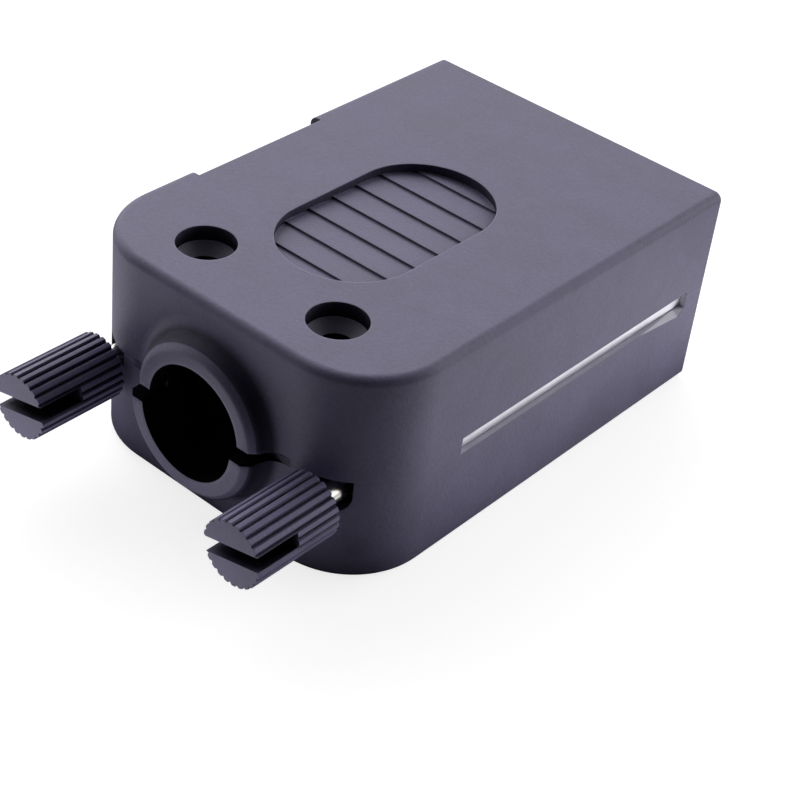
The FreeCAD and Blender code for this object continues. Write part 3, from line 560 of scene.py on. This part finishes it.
# %% The metals
def metal(name, dark, light, rough, line_width, line_depth, edge_radius):
    """Plated metal with hair lines, cloudy plating and soft edges."""
    material, tree, shader = start_material(name)
    lines = place_group(tree, hair_lines, Width=line_width)
    edges = place_group(tree, soft_edges, Radius=edge_radius)
    tone = spread(tree, lines, "Cloud", 0.0, 1.0)
    colour = mix_colour(tree, (tone, "Result"), dark, light)
    tree.links.new(colour, shader.inputs["Base Color"])
    gloss = spread(tree, lines, "Lines", *rough)
    join(tree, gloss, "Result", shader, "Roughness")
    shader.inputs["Metallic"].default_value = 1.0
    bend_normal(tree, (lines, "Lines"), line_depth, edges, shader)
    return material


tin_plate = metal(
    "tin_plate", (0.6, 0.59, 0.57), (0.75, 0.74, 0.71), (0.2, 0.36),
    0.05 * MM, 0.002 * MM, 0.06 * MM,
)
liner_steel = metal(
    "liner_steel", (0.8, 0.79, 0.85), (0.92, 0.91, 0.97), (0.5, 0.66),
    0.06 * MM, 0.003 * MM, 0.05 * MM,
)
nickel_steel = metal(
    "nickel_steel", (0.66, 0.64, 0.6), (0.78, 0.76, 0.72), (0.16, 0.3),
    0.04 * MM, 0.002 * MM, 0.06 * MM,
)
spring_steel = metal(
    "spring_steel", (0.3, 0.29, 0.28), (0.42, 0.41, 0.39), (0.3, 0.45),
    0.05 * MM, 0.002 * MM, 0.05 * MM,
)
gold_flash = metal(
    "gold_flash", (0.78, 0.56, 0.22), (0.88, 0.68, 0.32), (0.14, 0.28),
    0.04 * MM, 0.001 * MM, 0.04 * MM,
)
print("metals:", tin_plate.name, liner_steel.name, nickel_steel.name, gold_flash.name)

# %% [markdown]
# ## Dress the CAD nodes
#
# A CAD node whose shape is right stays as it is and gets a better material. The names
# say what each node is, so a short table joins the start of a name to a finish.

# %% Dress the CAD nodes
FINISHES = {
    "upper_shell": hood_plastic,
    "lower_shell": hood_plastic,
    "thumb_knob": knob_plastic,
    "front_insulator": insulator_plastic,
    "rear_insulator": insulator_plastic,
    "screen_liner": liner_steel,
    "plug_shell": tin_plate,
    "rear_shell": tin_plate,
    "flange_eyelet": tin_plate,
    "thumbscrew_shank": nickel_steel,
    "retaining_ring": spring_steel,
    "contact": gold_flash,
}


def dress(node_name, material):
    """Give a CAD node its finish."""
    for slot in parts[node_name].material_slots:
        slot.material = material


for node_name in sorted(parts):
    start = next(start for start in FINISHES if node_name.startswith(start))
    dress(node_name, FINISHES[start])
print("dressed:", len(parts), "nodes")

# %% [markdown]
# ## The thumbscrews' thread
#
# The thick front end of each thumbscrew carries a fine unified thread, forty turns to
# the inch. The CAD leaves it plain, so the shank is made again here with a real helix.
# A grid of points runs round and along the shank; in the threaded stretch the radius
# follows a triangle wave with flat tops that moves on by one pitch each turn. At both
# ends the wave fades, as a cut thread runs out. The groove's place comes from the ring that sits in
# it.

# %% Sizes of the shank
SCREW_X = 12.495 * MM
SCREW_Z = 8.7 * MM
SHANK_R = 1.1 * MM
GROOVE_R = 0.8 * MM
THREAD_R = 1.42 * MM
THREAD_LENGTH = 5.4 * MM
THREAD_PITCH = 25.4 / 40 * MM
THREAD_DEPTH = 0.33 * MM
CREST_SHARE = 0.08
FLANK_SHARE = 0.8
THREAD_FADE = (0.15 * MM, 0.6 * MM)
TIP_CHAMFER = 0.5 * MM
RING_PLAY = 0.05 * MM
AROUND = 48
STEPS_PER_TURN = 10
WELD_REACH = 0.002 * MM
SMOOTH_BELOW = math.radians(38)

shank_low, shank_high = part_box("thumbscrew_shank_right")
ring_low, ring_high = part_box("retaining_ring_right")
BACK_Y = shank_low[1]
TIP_Y = shank_high[1]
THREAD_START_Y = TIP_Y - THREAD_LENGTH
GROOVE_Y = (ring_low[1] - RING_PLAY, ring_high[1] + RING_PLAY)
print("shank from", round(BACK_Y / MM, 2), "to", round(TIP_Y / MM, 2), "mm")


# %% The profile along the shank
def shank_rows():
    """(y, radius, thread share) for each ring of points, from the knob to the tip."""
    rows = [
        (BACK_Y, 0.0, 0.0),
        (BACK_Y, SHANK_R, 0.0),
        (GROOVE_Y[0], SHANK_R, 0.0),
        (GROOVE_Y[0], GROOVE_R, 0.0),
        (GROOVE_Y[1], GROOVE_R, 0.0),
        (GROOVE_Y[1], SHANK_R, 0.0),
        (THREAD_START_Y, SHANK_R, 0.0),
    ]
    run_out = THREAD_R - SHANK_R
    step = THREAD_PITCH / STEPS_PER_TURN
    count = int(THREAD_LENGTH / step)
    for index in range(1, count):
        y = THREAD_START_Y + index * step
        rise = min(1.0, (y - THREAD_START_Y) / run_out)
        from_tip = TIP_Y - y
        radius = min(SHANK_R + run_out * rise, THREAD_R - TIP_CHAMFER + from_tip)
        fade = min(1.0, rise, max(0.0, (from_tip - THREAD_FADE[0]) / THREAD_FADE[1]))
        rows.append((y, radius, fade))
    rows.append((TIP_Y, THREAD_R - TIP_CHAMFER, 0.0))
    rows.append((TIP_Y, 0.0, 0.0))
    return rows


print("rings of points:", len(shank_rows()))


# %% Build the shanks
def thread_dip(y, turn):
    """How deep the thread is cut at a place along the shank and a share of a turn."""
    phase = ((y / THREAD_PITCH) - turn) % 1.0
    wave = abs(phase * 2.0 - 1.0)
    return THREAD_DEPTH * min(1.0, max(0.0, (wave - CREST_SHARE) / FLANK_SHARE))


def make_shank(name, x):
    """A shank with its groove, thread and bevelled tip."""
    points = []
    faces = []
    rows = shank_rows()
    for y, radius, fade in rows:
        for step in range(AROUND):
            turn = step / AROUND
            reach = max(0.0, radius - thread_dip(y, turn) * fade)
            angle = turn * math.tau
            points.append((x + reach * math.cos(angle), y, SCREW_Z + reach * math.sin(angle)))
    for row in range(len(rows) - 1):
        for step in range(AROUND):
            after = (step + 1) % AROUND
            low = row * AROUND
            high = low + AROUND
            faces.append((low + step, high + step, high + after, low + after))
    mesh = bpy.data.meshes.new(name)
    mesh.from_pydata(points, [], faces)
    mesh.update()
    shank = bpy.data.objects.new(name, mesh)
    bpy.context.scene.collection.objects.link(shank)
    tidy_shank(shank)
    mesh.materials.append(nickel_steel)
    return shank


def tidy_shank(shank):
    """Close the two ends and shade the round faces smooth."""
    work = bmesh.new()
    work.from_mesh(shank.data)
    bmesh.ops.remove_doubles(work, verts=work.verts, dist=WELD_REACH)
    bmesh.ops.recalc_face_normals(work, faces=work.faces)
    for face in work.faces:
        face.smooth = True
    for edge in work.edges:
        edge.smooth = edge.calc_face_angle(0.0) < SMOOTH_BELOW
    work.to_mesh(shank.data)
    work.free()


for side, x in (("left", -SCREW_X), ("right", SCREW_X)):
    shank = make_shank(f"threaded_shank_{side}", x)
    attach(shank, f"{side}_thumbscrew")
    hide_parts(f"thumbscrew_shank_{side}")
    print("made", shank.name, "with", len(shank.data.polygons), "faces")

# %% [markdown]
# ## Floor, backdrop and light
#
# The plug lies on plain white paper in a light tent. Seven soft panels light it, nearly
# all of them behind it or to its left, so the top and the right side shine while the
# cable end and the near corner stay dark. The camera sees pure white paper. What the
# plug itself sees of the paper is lit in a few soft patches, most of them close to its
# right side.
#
# A patch of lit paper has a side of the plug, the turn of that side from +X in degrees, a
# ring round the plug and a strength. The ring says how many millimetres from the plug's
# outline the patch starts, is brightest and ends.

# %% Patches of lit paper
PLUG_HALF = (17 * MM, 24 * MM)
PATCH_SPREAD = math.radians(45)
LEAST_DISTANCE = 0.1 * MM
RINGS = {
    "close": (None, 4, 14),
    "near": (4, 14, 45),
    "far": (14, 45, 150),
    "wide": (45, 150, None),
}
PAPER_PATCHES = [
    ("right", 0, "close", 0.21),
    ("right", 0, "near", 1.45),
    ("right", 0, "far", 0.27),
    ("right, behind", 45, "close", 0.31),
    ("right, behind", 45, "near", 1.75),
    ("right, behind", 45, "far", 0.92),
    ("right, behind", 45, "wide", 1.04),
    ("right, in front", 315, "near", 0.42),
    ("in front", 270, "near", 1.2),
    ("left, in front", 225, "near", 1.2),
    ("left, in front", 225, "far", 1.4),
]


def log_distance(distance_mm):
    """The scale on which the rings are spaced."""
    return math.log(distance_mm * MM)


def outline_distance(tree, position):
    """How far a point of the paper lies from the plug's outline."""
    gaps = []
    for axis, half in zip("XY", PLUG_HALF):
        reach = (math_node(tree, "ABSOLUTE", (position, axis)), "Value")
        gaps.append(chain(tree, "MAXIMUM", chain(tree, "SUBTRACT", reach, half), 0.0))
    return flat_length(tree, *gaps)


def patch_mask(tree, turn, level, azimuth, ring):
    """1 in the middle of a patch, 0 outside it."""
    away = math_node(tree, "SUBTRACT", (turn, "Value"), math.radians(azimuth))
    away = math_node(tree, "WRAP", (away, "Value"), math.pi)
    away.inputs[2].default_value = -math.pi
    away = math_node(tree, "ABSOLUTE", (away, "Value"))
    masks = [(fade_in(tree, away, "Value", PATCH_SPREAD, 0.0), "Result")]
    start, brightest, end = RINGS[ring]
    for limit in (start, end):
        if limit:
            edge = fade_in(tree, *level, log_distance(limit), log_distance(brightest))
            masks.append((edge, "Result"))
    return chain(tree, "MULTIPLY", *masks)


def build_paper_light():
    """How bright the paper is for the plug."""
    tree, source, sink = new_group("paper_light", {}, {"Light": "Float"})
    point = add(tree, "NewGeometry")
    position = add(tree, "SeparateXYZ")
    join(tree, point, "Position", position, "Vector")
    distance = chain(tree, "ADD", outline_distance(tree, position), LEAST_DISTANCE)
    level = chain(tree, "LOGARITHM", distance, math.e)
    turn = math_node(tree, "ARCTAN2", (position, "Y"), (position, "X"))
    patches = [
        chain(tree, "MULTIPLY", patch_mask(tree, turn, level, azimuth, ring), strength)
        for _, azimuth, ring, strength in PAPER_PATCHES
    ]
    join(tree, *chain(tree, "ADD", *patches), sink, "Light")
    return tree


paper_light = build_paper_light()
print("group:", paper_light.name, "with", len(PAPER_PATCHES), "patches")

# %% Floor
FLOOR_SIZE = 6.0
FLOOR_GLOW = 0.8
PAPER_TONES = (0.5, 0.52)
PAPER_FOR_PLUG = (0.05, 0.05, 0.05)


def seen_directly(tree):
    """1 where the camera looks, also through glass, and 0 for the plug's own light."""
    path = add(tree, "LightPath")
    return chain(tree, "MAXIMUM", (path, "Is Camera Ray"), (path, "Is Transmission Ray"))


def white_floor():
    """White to the camera; to the plug it shows the paper's light."""
    material, tree, shader = start_material("white_floor")
    shader.inputs["Roughness"].default_value = 0.9
    shader.inputs["Specular IOR Level"].default_value = 0.0
    seen = seen_directly(tree)
    noise = add(tree, "TexNoise", Scale=40.0, Detail=2.0)
    paper = spread(tree, noise, "Fac", *PAPER_TONES)
    pale = add(tree, "CombineColor")
    for channel in ("Red", "Green", "Blue"):
        join(tree, paper, "Result", pale, channel)
    colour = mix_colour(tree, seen, PAPER_FOR_PLUG, pale.outputs["Color"])
    tree.links.new(colour, shader.inputs["Base Color"])
    bounce = place_group(tree, paper_light)
    glow = add(tree, "Mix")
    join(tree, *seen, glow, "Factor")
    join(tree, bounce, "Light", glow, "A")
    glow.inputs["B"].default_value = FLOOR_GLOW
    shader.inputs["Emission Color"].default_value = (1.0, 1.0, 1.0, 1.0)
    join(tree, glow, "Result", shader, "Emission Strength")
    return material


bpy.ops.mesh.primitive_plane_add(size=FLOOR_SIZE, location=(0, 0, 0))
floor = bpy.context.object
floor.name = "floor"
floor.data.materials.append(white_floor())
print("floor made")

# %% [markdown]
# A panel of the tent has a direction, given as its turn from +X towards +Y and its
# height above the horizon in degrees, and a strength. Its light falls off softly round
# that direction. A faint haze comes from everywhere.

# %% World
PANEL_FOCUS = 11.3
TENT_PANELS = [
    ("behind, high", 120, 38, 1.57),
    ("left, high", 160, 38, 2.08),
    ("right, behind, low", 60, 10, 3.9),
    ("behind, low", 90, 10, 1.0),
    ("left, behind, low", 150, 10, 0.98),
    ("left, low", 180, 10, 2.02),
    ("left, in front", 225, 25, 0.3),
]
TENT_HAZE = 0.01


def panel_light(tree, place, azimuth, height, strength):
    """The light of one panel, for the direction looked at."""
    turn, rise = math.radians(azimuth), math.radians(height)
    middle = (math.cos(turn) * math.cos(rise), math.sin(turn) * math.cos(rise), math.sin(rise))
    toward = add(tree, "VectorMath", {"operation": "DOT_PRODUCT"})
    join(tree, place, "Generated", toward, 0)
    toward.inputs[1].default_value = middle
    fall = chain(tree, "MULTIPLY", chain(tree, "SUBTRACT", (toward, "Value"), 1.0), PANEL_FOCUS)
    fall = math_node(tree, "EXPONENT", fall)
    return chain(tree, "MULTIPLY", (fall, "Value"), strength)


def light_tent():
    """White to the camera; to the plug, the panels of the tent."""
    world = bpy.data.worlds.new("tent")
    bpy.context.scene.world = world
    world.use_nodes = True
    tree = world.node_tree
    background = tree.nodes["Background"]
    background.inputs["Color"].default_value = (1.0, 1.0, 1.0, 1.0)
    place = add(tree, "TexCoord")
    panels = [panel_light(tree, place, *panel[1:]) for panel in TENT_PANELS]
    light = chain(tree, "ADD", *panels, TENT_HAZE)
    join(tree, *chain(tree, "MAXIMUM", seen_directly(tree), light), background, "Strength")


light_tent()
print("world made with", len(TENT_PANELS), "panels")

# %% [markdown]
# ## Camera
#
# The photograph was taken from the cable end, a little above the plug and to its
# right, with a long lens and a slight roll. The place and the angles come from fitting
# the hood's corners, the screw holes and the knobs.

# %% Camera
CAMERA_PLACE = (0.088316, -0.115601, 0.10823)
CAMERA_ANGLES = (53.034, -5.591, 41.164)
CAMERA_LENS = 86.756
CAMERA_REACH = (0.01, 10.0)

camera_data = bpy.data.cameras.new("camera")
camera_data.sensor_width = 36.0
camera_data.lens = CAMERA_LENS
camera_data.clip_start, camera_data.clip_end = CAMERA_REACH
camera = bpy.data.objects.new("camera", camera_data)
camera.location = CAMERA_PLACE
camera.rotation_euler = [math.radians(angle) for angle in CAMERA_ANGLES]
bpy.context.scene.collection.objects.link(camera)
bpy.context.scene.camera = camera
bpy.context.scene.view_settings.view_transform = "Standard"
print("camera made")
